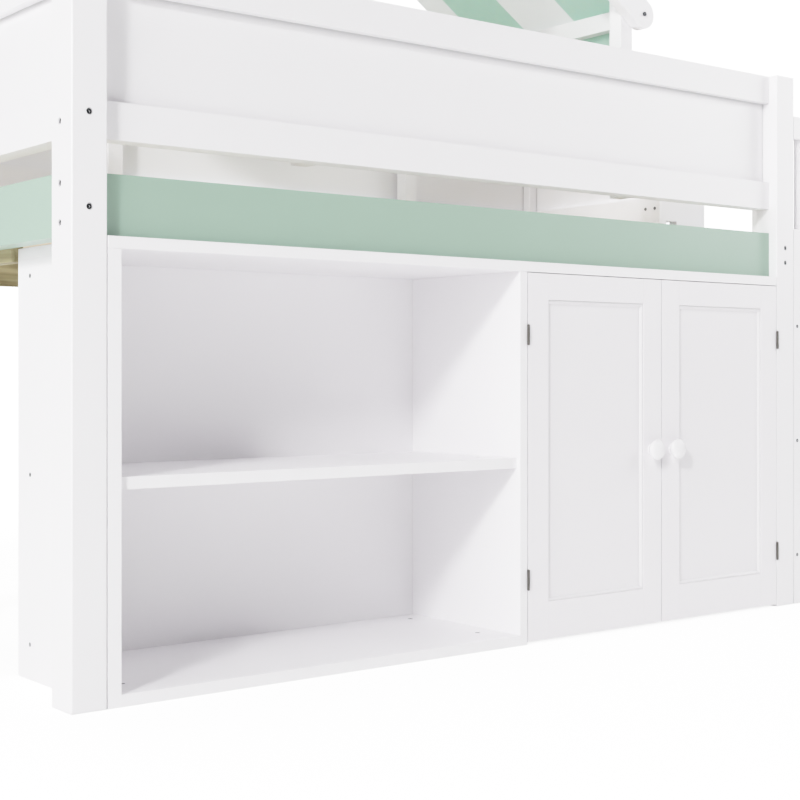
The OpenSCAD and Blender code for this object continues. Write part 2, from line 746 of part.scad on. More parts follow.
// Hinges: the outer knuckle segments belong to the fixed leaf, the middle one to the door
module hinge_leaf(fixed, dir) {
  seg = hinge_len / 3;
  r = knuckle_d / 2;
  x0 = door_gap / 2 - leaf_t;
  mirror([dir, 0, 0]) difference() {
    union() {
      for (z = fixed ? [-seg, seg] : [0])
        translate([0, 0, z - (seg - leaf_play) / 2]) linear_extrude(seg - leaf_play) {
          circle(r);
          translate([x0, 0.5]) square([leaf_t, r + leaf_d - 0.5]);
        }
      board([x0, r + leaf_play, -(hinge_len - leaf_play) / 2],
        [leaf_t, leaf_d - leaf_play, hinge_len - leaf_play]);
    }
    cylinder(d = pin_d + 2 * (fixed ? pin_hold : pin_play), h = hinge_len + 2 * cut, center = true);
  }
}
module hinge_leaves() color(steel) placed()
  for (z = hinge_zs) {
    translate([hinge_left_x, hinge_y, z]) hinge_leaf(true, 1);
    translate([hinge_right_x, hinge_y, z]) hinge_leaf(true, 0);
  }
module hinge_pins() color(steel) placed()
  for (z = hinge_zs, x = [hinge_left_x, hinge_right_x])
    translate([x, hinge_y, z]) cylinder(d = pin_d, h = hinge_len + 2, center = true);
module door_fittings(e) color(steel) placed() {
  plate = [30, 1, 12];
  for (z = hinge_zs)
    translate([e == 0 ? hinge_left_x : hinge_right_x, hinge_y, z]) hinge_leaf(false, e);
  board([catch_x(e) - plate[0] / 2, door_t, door_top - plate[2] - 2], plate);
  translate([knob_x(e), 0, knob_z]) rotate([-90, 0, 0]) {
    translate([0, 0, door_t]) cylinder(d = 9, h = 2.5);
    translate([0, 0, 1 - knob_screw_in]) cylinder(d = knob_screw_d, h = door_t + knob_screw_in - 1);
  }
}
function catch_x(e) = e == 0 ? left_door_x + door_w - 88 : right_door_x + 88;
module door_catches() color("#3a3b3c") placed()
  for (e = [0, 1])
    board([catch_x(e) - catch_l / 2, door_t + 1.3, board_z - catch_h], [catch_l, catch_d, catch_h]);

module door_left_stiles() door_stiles(0);
module door_left_rails() door_rails(0);
module door_left_panel() door_panel(0);
module door_left_knob() door_knob(0);
module door_left_fittings() door_fittings(0);
module door_right_stiles() door_stiles(1);
module door_right_rails() door_rails(1);
module door_right_panel() door_panel(1);
module door_right_knob() door_knob(1);
module door_right_fittings() door_fittings(1);

// Roof frame
function upright_screw_sites() = concat(
  [for (e = [-1, 1], s = [0, 1], z = [guard_low_mid, guard_top_mid, eave_z + 20])
    [[mid_x + e * upright_x, s == 0 ? bar_y + upright_w : bed_w - bar_y - upright_w, z],
      [s == 0 ? 90 : -90, 0, 0]]]);
function roof_bolt_sites() = [for (e = [-1, 1], s = [0, 1])
  [[mid_x + e * eave_x, s == 0 ? rafter_y : bed_w - rafter_y, eave_z], [s == 0 ? -90 : 90, 0, 0]]];
function ridge_screw_sites() = [for (e = [-1, 1], s = [0, 1])
  [[mid_x + e * ridge_screw_x, s == 0 ? rafter_y : bed_w - rafter_y, ridge_z], [s == 0 ? -90 : 90, 0, 0]]];
module frame_bolt_short() {
  difference() {
    union() {
      translate([0, 0, -head_h]) cylinder(d = head_d, h = head_h);
      cylinder(d = bolt_d, h = rafter_t + nut_in);
    }
    translate([0, 0, -head_h - cut]) cylinder(d = 5, h = head_h / 2 + cut, $fn = 6);
  }
}
module short_way() cylinder(d = bolt_d + 2 * nut_play, h = rafter_t + nut_in + cut);

module roof_uprights() color(white) placed() difference() {
  for (e = [-1, 1], y = [bar_y, bed_w - bar_y - upright_w])
    board([mid_x + e * upright_x - upright_w / 2, y, guard_z],
      [upright_w, upright_w, upright_top - guard_z]);
  at_sites(upright_screw_sites()) screw_way(upright_screw_len);
}
module rafter_outline() {
  intersection() {
    translate([eave_x, eave_z]) rotate(-pitch) {
      circle(d = rafter_h);
      translate([-rafter_len, -rafter_h / 2]) square([rafter_len, rafter_h]);
    }
    translate([mitre_gap / 2, 0]) square([eave_x + rafter_h, 3 * post_h]);
  }
}
module rafters() color(white) placed() difference() {
  for (y = [rafter_y, bed_w - bar_y], e = [0, 1])
    translate([mid_x, y + rafter_t, 0]) mirror([e, 0, 0])
      rotate([90, 0, 0]) linear_extrude(rafter_t) rafter_outline();
  at_sites(roof_bolt_sites()) translate([0, 0, -cut])
    cylinder(d = bolt_d + 2 * nut_play, h = rafter_t + 2 * cut);
  at_sites(upright_screw_sites()) screw_way(upright_screw_len);
  at_sites(ridge_screw_sites()) screw_way(upright_screw_len);
}
module ridge_pole() color(white) placed() difference() {
  translate([mid_x, bar_y, ridge_z]) rotate([-90, 0, 0]) cylinder(d = ridge_d, h = bar_len, $fn = 48);
  at_sites(ridge_screw_sites()) screw_way(upright_screw_len);
}
module eave_bars() color(white) placed() difference() {
  for (e = [-1, 1])
    board([mid_x + e * eave_x - rafter_t / 2, bar_y, eave_z - eave_h / 2], [rafter_t, bar_len, eave_h]);
  at_sites(roof_bolt_sites()) short_way();
}

// Cloth: half of its section from the ridge to the hanging edge, as
// [x, z, normal x, normal z, sag share, wave share]
cloth_r = ridge_d / 2 + soft_play;
corner_r = 1.2;
corner_in = 0.55;
corner_x = eave_edge_x - corner_in;
corner_z = eave_top - corner_in;
ridge_end = [cloth_r * sin(pitch), ridge_z + cloth_r * cos(pitch)];
slope_end = [corner_x + corner_r * sin(pitch), corner_z + corner_r * cos(pitch)];
slope_steps = 8;
drop_steps = 5;
half_section = concat(
  [for (a = [0:1:2]) let (t = a * pitch / 3)
    [cloth_r * sin(t), ridge_z + cloth_r * cos(t), sin(t), cos(t), 0, 0]],
  [for (i = [0:slope_steps]) let (u = i / slope_steps)
    [ridge_end[0] + u * (slope_end[0] - ridge_end[0]),
     ridge_end[1] + u * (slope_end[1] - ridge_end[1]), sin(pitch), cos(pitch), sin(180 * u), 0]],
  [for (i = [1:3]) let (t = pitch + i * (90 - pitch) / 3)
    [corner_x + corner_r * sin(t), corner_z + corner_r * cos(t), sin(t), cos(t), 0, 0]],
  [for (i = [1:drop_steps])
    [corner_x + corner_r, corner_z - i * cloth_drop / drop_steps, 1, 0, 0, i / drop_steps]]
);
section_n = len(half_section);
full_section = concat(
  [for (i = [section_n - 1:-1:1]) let (p = half_section[i]) [-p[0], p[1], -p[2], p[3], p[4], p[5]]],
  half_section
);
cloth_n = len(full_section);
cloth_steps = 14;
waves = 3.5;
// Point k of the section at step j across the cloth; side is 0 inside and 1 outside
function cloth_point(k, j, side) = let (
    p = full_section[k],
    v = j / cloth_steps,
    edge = sin(180 * v),
    push = -cloth_sag * p[4] * (0.35 + 0.65 * edge) + wave_depth * p[5] * (1 - cos(360 * waves * v)) / 2
      + side * cloth_t)
  [p[0] + p[2] * push, cloth_in + v * cloth_w, p[1] + p[3] * push];
module canopy_cloth() {
  n = cloth_n;
  m = cloth_steps + 1;
  points = [for (side = [0, 1], j = [0:m - 1], k = [0:n - 1]) cloth_point(k, j, side)];
  layer = n * m;
  faces = concat(
    [for (j = [0:m - 2], k = [0:n - 2]) each [
      [j * n + k, j * n + k + 1, (j + 1) * n + k + 1], [j * n + k, (j + 1) * n + k + 1, (j + 1) * n + k]]],
    [for (j = [0:m - 2], k = [0:n - 2]) each [
      [layer + j * n + k, layer + (j + 1) * n + k + 1, layer + j * n + k + 1],
      [layer + j * n + k, layer + (j + 1) * n + k, layer + (j + 1) * n + k + 1]]],
    [for (k = [0:n - 2]) each [
      [k, layer + k + 1, k + 1], [k, layer + k, layer + k + 1]]],
    [for (k = [0:n - 2]) let (a = (m - 1) * n + k) each [
      [a, a + 1, layer + a + 1], [a, layer + a + 1, layer + a]]],
    [for (j = [0:m - 2]) let (a = j * n, b = (j + 1) * n) each [
      [a, b, layer + b], [a, layer + b, layer + a]]],
    [for (j = [0:m - 2]) let (a = j * n + n - 1, b = (j + 1) * n + n - 1) each [
      [a, layer + b, b], [a, layer + a, layer + b]]]
  );
  color(mint) placed() translate([mid_x, 0, 0]) polyhedron(points, faces);
}

post_front_left();
post_front_right();
post_rear_left();
post_rear_right();
side_rail_front();
side_rail_rear();
end_rail_left();
end_rail_right();
ledge_front();
ledge_rear();
end_ledges();
slats();
guard_front_top_rail();
guard_front_bottom_rail();
guard_front_panel();
guard_rear_top_rail();
guard_rear_bottom_rail();
guard_rear_panel();
guard_left_top_rail();
guard_left_bottom_rail();
guard_left_panel();
guard_right_top_rail();
guard_right_bottom_rail();
guard_right_panel();
entry_upright();
frame_bolts();
barrel_nuts();
ladder_stile_front();
ladder_stile_rear();
ladder_treads();
ladder_brackets();
cabinet_top();
cabinet_bottom();
cabinet_side_left();
cabinet_side_right();
cabinet_divider();
cabinet_back();
bay_shelf();
cupboard_shelf();
shelf_pins();
cam_locks();
corner_brackets();
door_catches();
hinge_leaves();
hinge_pins();
door_left_stiles();
door_left_rails();
door_left_panel();
door_left_knob();
door_left_fittings();
door_right_stiles();
door_right_rails();
door_right_panel();
door_right_knob();
door_right_fittings();
roof_uprights();
rafters();
ridge_pole();
eave_bars();
canopy_cloth();
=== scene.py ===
# Loft bed: white lacquered posts and guards, mint bed rails, a shelf bay and a cupboard
# between the front posts, a ladder at the right end, a roof frame with a striped cloth.
# Places are given in the maker's millimetres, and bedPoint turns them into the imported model's metres.
import math
import bpy
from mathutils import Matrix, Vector, noise


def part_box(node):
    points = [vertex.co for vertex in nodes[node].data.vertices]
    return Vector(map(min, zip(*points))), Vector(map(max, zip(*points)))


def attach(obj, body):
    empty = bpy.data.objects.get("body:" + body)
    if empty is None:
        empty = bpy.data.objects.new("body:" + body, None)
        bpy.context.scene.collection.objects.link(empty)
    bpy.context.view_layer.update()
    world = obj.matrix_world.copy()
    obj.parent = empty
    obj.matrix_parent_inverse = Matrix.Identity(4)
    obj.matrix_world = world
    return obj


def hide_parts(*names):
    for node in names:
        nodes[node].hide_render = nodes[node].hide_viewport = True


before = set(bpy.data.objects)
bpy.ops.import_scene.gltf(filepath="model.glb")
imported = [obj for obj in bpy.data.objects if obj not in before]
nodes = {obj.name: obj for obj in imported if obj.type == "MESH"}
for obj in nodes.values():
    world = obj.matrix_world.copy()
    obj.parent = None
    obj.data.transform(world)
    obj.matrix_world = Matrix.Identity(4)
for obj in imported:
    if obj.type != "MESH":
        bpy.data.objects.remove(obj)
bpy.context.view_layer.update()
scene = bpy.context.scene
print("frame loaded with", len(nodes), "pieces")

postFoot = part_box("post_front_left")[0]


def bedPoint(x, y, z):
    # millimetres from the outer front corner of the front left post's foot
    return postFoot + Vector((x, y, z)) / 1000


def linear(hexColour):
    parts = [int(hexColour[i:i + 2], 16) / 255 for i in (1, 3, 5)]
    return tuple(p / 12.92 if p <= 0.04045 else ((p + 0.055) / 1.055) ** 2.4 for p in parts) + (1.0,)


# Camera: level, turned to the right, a little above the open shelf
cameraSettings = {
    "place": (-1240.4, -2551.7, 635.1),
    "turnedDegrees": 38.29,
    "focal": 1498.9,  # in pixels
    "horizonAbove": 28.2,  # pixels that the horizon lies above the middle
    "pictureWidth": 800,  # in pixels
    "sensorWidth": 36,  # in millimetres
    "farthest": 100,  # that it sees, in metres
}
cameraData = bpy.data.cameras.new("studioCamera")
cameraData.sensor_width = cameraSettings["sensorWidth"]
cameraData.lens = cameraSettings["sensorWidth"] * cameraSettings["focal"] / cameraSettings["pictureWidth"]
cameraData.shift_y = -cameraSettings["horizonAbove"] / cameraSettings["pictureWidth"]
cameraData.clip_end = cameraSettings["farthest"]
studioCamera = bpy.data.objects.new("studioCamera", cameraData)
studioCamera.location = bedPoint(*cameraSettings["place"])
studioCamera.rotation_euler = (math.radians(90), 0, -math.radians(cameraSettings["turnedDegrees"]))
scene.collection.objects.link(studioCamera)
scene.camera = studioCamera
print("camera placed")

# Light: a small key and a large softbox at the left, a softbox at the right, one above the rear
# and an even pale room. Turns are degrees to the left of the bed's front, away and size are metres.
lightSettings = {
    "aim": (1074, 300, 800),
    "boxes": {
        "keyLamp": {"turn": 59, "up": 25, "away": 9.0, "size": 1.2, "power": 680},
        "leftSoftbox": {"turn": 72, "up": 21, "away": 9.0, "size": 6.4, "power": 730},
        "rightSoftbox": {"turn": -62, "up": 20, "away": 4.6, "size": 2.6, "power": 145},
        "topSoftbox": {"turn": 165, "up": 78, "away": 4.4, "size": 3.4, "power": 330},
    },
    "room": 0.08,
    "backdrop": 4.2,
}


def addSoftbox(name, turn, up, away, size, power):
    turn, up = math.radians(turn), math.radians(up)
    towards = Vector((-math.sin(turn) * math.cos(up), -math.cos(turn) * math.cos(up), math.sin(up)))
    data = bpy.data.lights.new(name, "AREA")
    data.shape = "DISK"
    data.size = size
    data.energy = power
    lamp = bpy.data.objects.new(name, data)
    lamp.location = bedPoint(*lightSettings["aim"]) + towards * away
    lamp.rotation_euler = (-towards).to_track_quat("-Z", "Y").to_euler()
    scene.collection.objects.link(lamp)


for boxName, box in lightSettings["boxes"].items():
    addSoftbox(boxName, **box)


def addNode(tree, kind, settings=None, values=None, links=None):
    node = tree.nodes.new(kind)
    for name, value in (settings or {}).items():
        setattr(node, name, value)
    for name, value in (values or {}).items():
        node.inputs[name].default_value = value
    for name, source in (links or {}).items():
        tree.links.new(source, node.inputs[name])
    return node


# the room lights the bed faintly, and the camera sees it as a bright backdrop
room = bpy.data.worlds.new("paleRoom")
room.use_nodes = True
roomTree = room.node_tree
roomTree.nodes.clear()
rayKind = addNode(roomTree, "ShaderNodeLightPath")
roomLight = addNode(roomTree, "ShaderNodeBackground",
                    values={"Color": (1, 1, 1, 1), "Strength": lightSettings["room"]})
roomBackdrop = addNode(roomTree, "ShaderNodeBackground",
                       values={"Color": (1, 1, 1, 1), "Strength": lightSettings["backdrop"]})
roomMix = addNode(roomTree, "ShaderNodeMixShader",
                  links={0: rayKind.outputs["Is Camera Ray"], 1: roomLight.outputs[0],
                         2: roomBackdrop.outputs[0]})
addNode(roomTree, "ShaderNodeOutputWorld", links={"Surface": roomMix.outputs[0]})
scene.world = room

# The print's soft shoulder: bright whites keep their shape instead of burning out
toneSettings = {
    "brightest": 4.0,
    "points": ((0.28, 0.242), (0.46, 0.366), (0.64, 0.474), (0.97, 0.62), (1.65, 0.807), (2.16, 0.885),
               (2.5, 0.918), (3.1, 0.965)),
}
scene.view_settings.view_transform = "Standard"
scene.view_settings.use_curve_mapping = True
toneCurve = scene.view_settings.curve_mapping
toneCurve.white_level = (toneSettings["brightest"],) * 3
wholePicture = toneCurve.curves[3]
for light, shown in toneSettings["points"]:
    wholePicture.points.new(light / toneSettings["brightest"], shown)
toneCurve.update()
print("light set")


def newMaterial(name):
    material = bpy.data.materials.new(name)
    material.use_nodes = True
    material.node_tree.nodes.clear()
    return material, material.node_tree


def alongGrain(tree, axis, share):
    # object coordinates squeezed along the grain, so that a pattern is drawn out along the board
    place = addNode(tree, "ShaderNodeTexCoord")
    squeeze = [1, 1, 1]
    squeeze["XYZ".index(axis)] = share
    mapped = addNode(tree, "ShaderNodeMapping", values={"Scale": squeeze},
                     links={"Vector": place.outputs["Object"]})
    return mapped.outputs[0]


whiteSettings = {
    "light": "#faf8fb",
    "shade": "#f7f5f8",
    "cloudMillimetres": 454.5,  # faint clouds in the colour and the gloss
    "roughness": 0.42,
    "duller": 0.05,  # how far the clouds raise the roughness
    "glossier": 0.04,  # and lower it
    "coat": 0.12,
    "coatRoughness": 0.3,
    "peelMillimetres": 3.0,  # real orange peel is about 1.5, too fine to show
    "peelDepth": 0.00005,  # in metres, like every depth of a pattern
    "grainMillimetres": 5.0,
    "grainSqueeze": 0.03,
    "grainDepth": 0.00006,
    "creaseShadeMillimetres": 6.0,
    "creaseShadeOpenness": (0.1, 0.85),  # occlusion deep in a crease, and clear of it
    "paintedCreaseShade": 0.7,
    "creaseShadeLean": 0.0,  # above 0 the painted shade leans upward, darker under a ledge as its painted shadow
}
# the groups of boards differ a little in tone and in how dark their painted crease shade is
# cabinet boards: a shade whiter, as painted light that brightens the bay, with little painted crease shade
cabinetSettings = dict(whiteSettings, light="#fdfbfe", shade="#faf8fb", paintedCreaseShade=0.95)
# guard panels: stronger painted shade that leans upward, a painted shadow under the top rail and beside the
# posts
guardSettings = dict(whiteSettings, creaseShadeMillimetres=14.0, paintedCreaseShade=0.45, creaseShadeLean=1.0)
doorSettings = dict(whiteSettings, light="#f8f5f9", shade="#f5f2f6", paintedCreaseShade=0.9)
# door panels: a notch darker than their frames as painted shade of their recess, with painted shadow along
# the upper edges
panelSettings = dict(doorSettings, light="#f5f2f6", shade="#f2eff3", creaseShadeMillimetres=10.0,
                     paintedCreaseShade=0.45, creaseShadeLean=0.8)
mintSettings = dict(whiteSettings, light="#98b2a2", shade="#92ac9c", roughness=0.38)
# end rails: the same mint paint made lighter, as painted light from the left
endMintSettings = dict(mintSettings, light="#a3bcad", shade="#9db6a7")


def sprayedLacquer(name, axis, s):
    # satin lacquer sprayed on sanded board: even colour, a soft broad gloss,
    # faint orange peel, a hint of the grain under it, and painted shade that darkens creases and joints
    material, tree = newMaterial(name)
    place = addNode(tree, "ShaderNodeTexCoord").outputs["Object"]
    cloud = addNode(tree, "ShaderNodeTexNoise",
                    values={"Scale": 1000 / s["cloudMillimetres"], "Detail": 3.0, "Roughness": 0.5},
                    links={"Vector": place})
    tint = addNode(tree, "ShaderNodeMix", settings={"data_type": "RGBA"},
                   values={6: linear(s["light"]), 7: linear(s["shade"])}, links={0: cloud.outputs["Fac"]})
    facing = addNode(tree, "ShaderNodeNewGeometry")
    raised = addNode(tree, "ShaderNodeVectorMath", values={1: (0, 0, s["creaseShadeLean"])},
                     links={0: facing.outputs["Normal"]})
    leaning = addNode(tree, "ShaderNodeVectorMath", settings={"operation": "NORMALIZE"},
                      links={0: raised.outputs["Vector"]})
    # painted shade: the colour darkens where occlusion finds nearby surfaces, in creases, joints and, when
    # leaned, under ledges
    creaseOcclusion = addNode(tree, "ShaderNodeAmbientOcclusion", settings={"samples": 4},
                    values={"Distance": s["creaseShadeMillimetres"] / 1000},
                    links={"Normal": leaning.outputs["Vector"]})
    deep, clear = s["creaseShadeOpenness"]
    paintedCreaseShade = addNode(tree, "ShaderNodeMapRange",
                         values={"From Min": deep, "From Max": clear, "To Min": s["paintedCreaseShade"]},
                         links={"Value": creaseOcclusion.outputs["AO"]})
    creaseShaded = addNode(tree, "ShaderNodeMix", settings={"data_type": "RGBA", "blend_type": "MULTIPLY"},
                      values={0: 1.0}, links={6: tint.outputs[2], 7: paintedCreaseShade.outputs[0]})
    grain = addNode(tree, "ShaderNodeTexNoise",
                    values={"Scale": 1000 / s["grainMillimetres"], "Detail": 4.0, "Roughness": 0.6},
                    links={"Vector": alongGrain(tree, axis, s["grainSqueeze"])})
    peel = addNode(tree, "ShaderNodeTexNoise", values={"Scale": 1000 / s["peelMillimetres"], "Detail": 1.0},
                   links={"Vector": place})
    grainBump = addNode(tree, "ShaderNodeBump", values={"Strength": 0.35, "Distance": s["grainDepth"]},
                        links={"Height": grain.outputs["Fac"]})
    peelBump = addNode(tree, "ShaderNodeBump", values={"Strength": 0.25, "Distance": s["peelDepth"]},
                       links={"Height": peel.outputs["Fac"], "Normal": grainBump.outputs[0]})
    gloss = addNode(tree, "ShaderNodeMapRange",
                    values={"To Min": s["roughness"] - s["glossier"], "To Max": s["roughness"] + s["duller"]},
                    links={"Value": cloud.outputs["Fac"]})
    shader = addNode(tree, "ShaderNodeBsdfPrincipled",
                     values={"IOR": 1.5, "Coat Weight": s["coat"], "Coat Roughness": s["coatRoughness"]},
                     links={"Base Color": creaseShaded.outputs[2], "Roughness": gloss.outputs[0],
                            "Normal": peelBump.outputs[0]})
    addNode(tree, "ShaderNodeOutputMaterial", links={"Surface": shader.outputs[0]})
    return material


pineSettings = {
    "early": "#eddcc0",
    "late": "#d3b184",
    "bands": (0.36, 0.66),  # where early wood ends and late wood is full
    "ringMillimetres": 18.0,
    "ringSqueeze": 0.05,
    "ringDistortion": 0.6,
    "bendMillimetres": 111.1,
    "bend": 0.035,
    "fibreMillimetres": 0.9,
    "fibreSqueeze": 0.015,
    "fibreShade": 0.18,
    "fibreDepth": 0.0002,
    "knot": "#80502b",
    "knotMillimetres": 166.7,  # from knot to knot across the board
    "knotSqueeze": 0.45,
    "knotSize": (0.03, 0.07),  # full and faded out, as shares of that
    "roughness": 0.62,
}
# ledge pine painted dark and olive: painted shade and green light bounced off the mint rails
ledgeSettings = dict(pineSettings, early="#a99f79", late="#7f7350", knot="#5c4a30")


def sandedPine(name, axis, s):
    # bare sanded pine: honey bands of late wood, fine fibres and a few small knots
    material, tree = newMaterial(name)
    along = alongGrain(tree, axis, s["ringSqueeze"])
    bend = addNode(tree, "ShaderNodeTexNoise", values={"Scale": 1000 / s["bendMillimetres"], "Detail": 2.0},
                   links={"Vector": along})
    bent = addNode(tree, "ShaderNodeMix", settings={"data_type": "VECTOR"}, values={0: s["bend"]},
                   links={4: along, 5: bend.outputs["Color"]})
    rings = addNode(tree, "ShaderNodeTexNoise",
                    values={"Scale": 1000 / s["ringMillimetres"], "Detail": 2.0,
                            "Distortion": s["ringDistortion"]},
                    links={"Vector": bent.outputs[1]})
    bands = addNode(tree, "ShaderNodeValToRGB", links={"Fac": rings.outputs["Fac"]})
    for element, place, colour in zip(bands.color_ramp.elements, s["bands"], (s["early"], s["late"])):
        element.position = place
        element.color = linear(colour)
    fibre = addNode(tree, "ShaderNodeTexNoise", values={"Scale": 1000 / s["fibreMillimetres"], "Detail": 3.0},
                    links={"Vector": alongGrain(tree, axis, s["fibreSqueeze"])})
    fibred = addNode(tree, "ShaderNodeMix", settings={"data_type": "RGBA", "blend_type": "MULTIPLY"},
                     values={0: s["fibreShade"]},
                     links={6: bands.outputs["Color"], 7: fibre.outputs["Color"]})
    spots = addNode(tree, "ShaderNodeTexVoronoi", values={"Scale": 1000 / s["knotMillimetres"]},
                    links={"Vector": alongGrain(tree, axis, s["knotSqueeze"])})
    inKnot = addNode(tree, "ShaderNodeValToRGB", links={"Fac": spots.outputs["Distance"]})
    for element, place, share in zip(inKnot.color_ramp.elements, s["knotSize"], (1, 0)):
        element.position = place
        element.color = (share, share, share, 1)
    knotted = addNode(tree, "ShaderNodeMix", settings={"data_type": "RGBA"}, values={7: linear(s["knot"])},
                      links={0: inKnot.outputs["Color"], 6: fibred.outputs[2]})
    bump = addNode(tree, "ShaderNodeBump", values={"Strength": 0.4, "Distance": s["fibreDepth"]},
                   links={"Height": fibre.outputs["Fac"]})
    shader = addNode(tree, "ShaderNodeBsdfPrincipled", values={"IOR": 1.5, "Roughness": s["roughness"]},
                     links={"Base Color": knotted.outputs[2], "Normal": bump.outputs[0]})
    addNode(tree, "ShaderNodeOutputMaterial", links={"Surface": shader.outputs[0]})
    return material


zincSettings = {
    "light": "#a2a5a7",
    "dark": "#6d7174",
    "roughness": 0.34,
    "duller": 0.1,
    "glossier": 0.07,
    "spangleMillimetres": 4.0,
    "scratchMillimetres": 1.111,
    "scratchSqueeze": 0.1,
    "socketMillimetres": 2.0,
    "socketOpenness": (0.5, 0.62),  # deep in a socket, and at its mouth
    "overspray": 0.0,
    "powder": whiteSettings["light"],
    "powderRoughness": 0.7,
}
blackSettings = dict(zincSettings, light="#54575a", dark="#2a2c2e", roughness=0.45, spangleMillimetres=3.0,
                     overspray=0.9)
nickelSettings = dict(zincSettings, light="#6c6965", dark="#53504d", roughness=0.38, spangleMillimetres=6.0)


def platedSteel(name, s):
    # plated steel hardware: a cool grey metal gloss, slightly cloudy where the plating varies;
    # in the deep sockets the lacquer's pale overspray shows as a light dot
    material, tree = newMaterial(name)
    place = addNode(tree, "ShaderNodeTexCoord")
    cloud = addNode(tree, "ShaderNodeTexNoise",
                    values={"Scale": 1000 / s["spangleMillimetres"], "Detail": 3.0},
                    links={"Vector": place.outputs["Object"]})
    tint = addNode(tree, "ShaderNodeMix", settings={"data_type": "RGBA"},
                   values={6: linear(s["dark"]), 7: linear(s["light"])}, links={0: cloud.outputs["Fac"]})
    scratch = addNode(tree, "ShaderNodeTexNoise",
                      values={"Scale": 1000 / s["scratchMillimetres"], "Detail": 2.0},
                      links={"Vector": alongGrain(tree, "Z", s["scratchSqueeze"])})
    gloss = addNode(tree, "ShaderNodeMapRange",
                    values={"To Min": s["roughness"] - s["glossier"], "To Max": s["roughness"] + s["duller"]},
                    links={"Value": scratch.outputs["Fac"]})
    metal = addNode(tree, "ShaderNodeBsdfPrincipled", values={"Metallic": 1.0},
                    links={"Base Color": tint.outputs[2], "Roughness": gloss.outputs[0]})
    socket = addNode(tree, "ShaderNodeAmbientOcclusion", settings={"samples": 8},
                     values={"Distance": s["socketMillimetres"] / 1000})
    deep, mouth = s["socketOpenness"]
    overspray = addNode(tree, "ShaderNodeMapRange",
                        values={"From Min": mouth, "From Max": deep, "To Max": s["overspray"]},
                        links={"Value": socket.outputs["AO"]})
    powder = addNode(tree, "ShaderNodeBsdfPrincipled",
                     values={"Base Color": linear(s["powder"]), "IOR": 1.5,
                             "Roughness": s["powderRoughness"]})
    both = addNode(tree, "ShaderNodeMixShader",
                   links={0: overspray.outputs[0], 1: metal.outputs[0], 2: powder.outputs[0]})
    addNode(tree, "ShaderNodeOutputMaterial", links={"Surface": both.outputs[0]})
    return material


plasticSettings = {
    "colour": "#222324",
    "pale": "#2f3031",
    "roughness": 0.48,
    "gritMillimetres": 1.2,
    "gritDepth": 0.0001,
}


def mouldedPlastic(name, s):
    # moulded ABS of the door catches: dark, slightly grainy from the mould
    material, tree = newMaterial(name)
    place = addNode(tree, "ShaderNodeTexCoord")
    grit = addNode(tree, "ShaderNodeTexNoise", values={"Scale": 1000 / s["gritMillimetres"], "Detail": 2.0},
                   links={"Vector": place.outputs["Object"]})
    tint = addNode(tree, "ShaderNodeMix", settings={"data_type": "RGBA"},
                   values={6: linear(s["colour"]), 7: linear(s["pale"])}, links={0: grit.outputs["Fac"]})
    bump = addNode(tree, "ShaderNodeBump", values={"Strength": 0.3, "Distance": s["gritDepth"]},
                   links={"Height": grit.outputs["Fac"]})
    shader = addNode(tree, "ShaderNodeBsdfPrincipled", values={"IOR": 1.53, "Roughness": s["roughness"]},
                     links={"Base Color": tint.outputs[2], "Normal": bump.outputs[0]})
    addNode(tree, "ShaderNodeOutputMaterial", links={"Surface": shader.outputs[0]})
    return material


cottonSettings = {
    "stripe": 180.0,
    "colours": ("#cde7db", "#f9fbfa"),  # mint and white in turn
    "threadMillimetres": 1.6,  # real threads are about 0.6 apart, too fine to show
    "threadShade": 0.93,
    "threadDepth": 0.0003,
    "raggedMillimetres": 1.111,
    "raggedDepth": 0.0012,  # how far the stripes' edges wander
    "slubMillimetres": 16.67,
    "slubShade": 0.15,
    "roughness": 0.88,
    "fuzz": 0.25,
    "glow": 0.6,  # share of the light that comes through
}


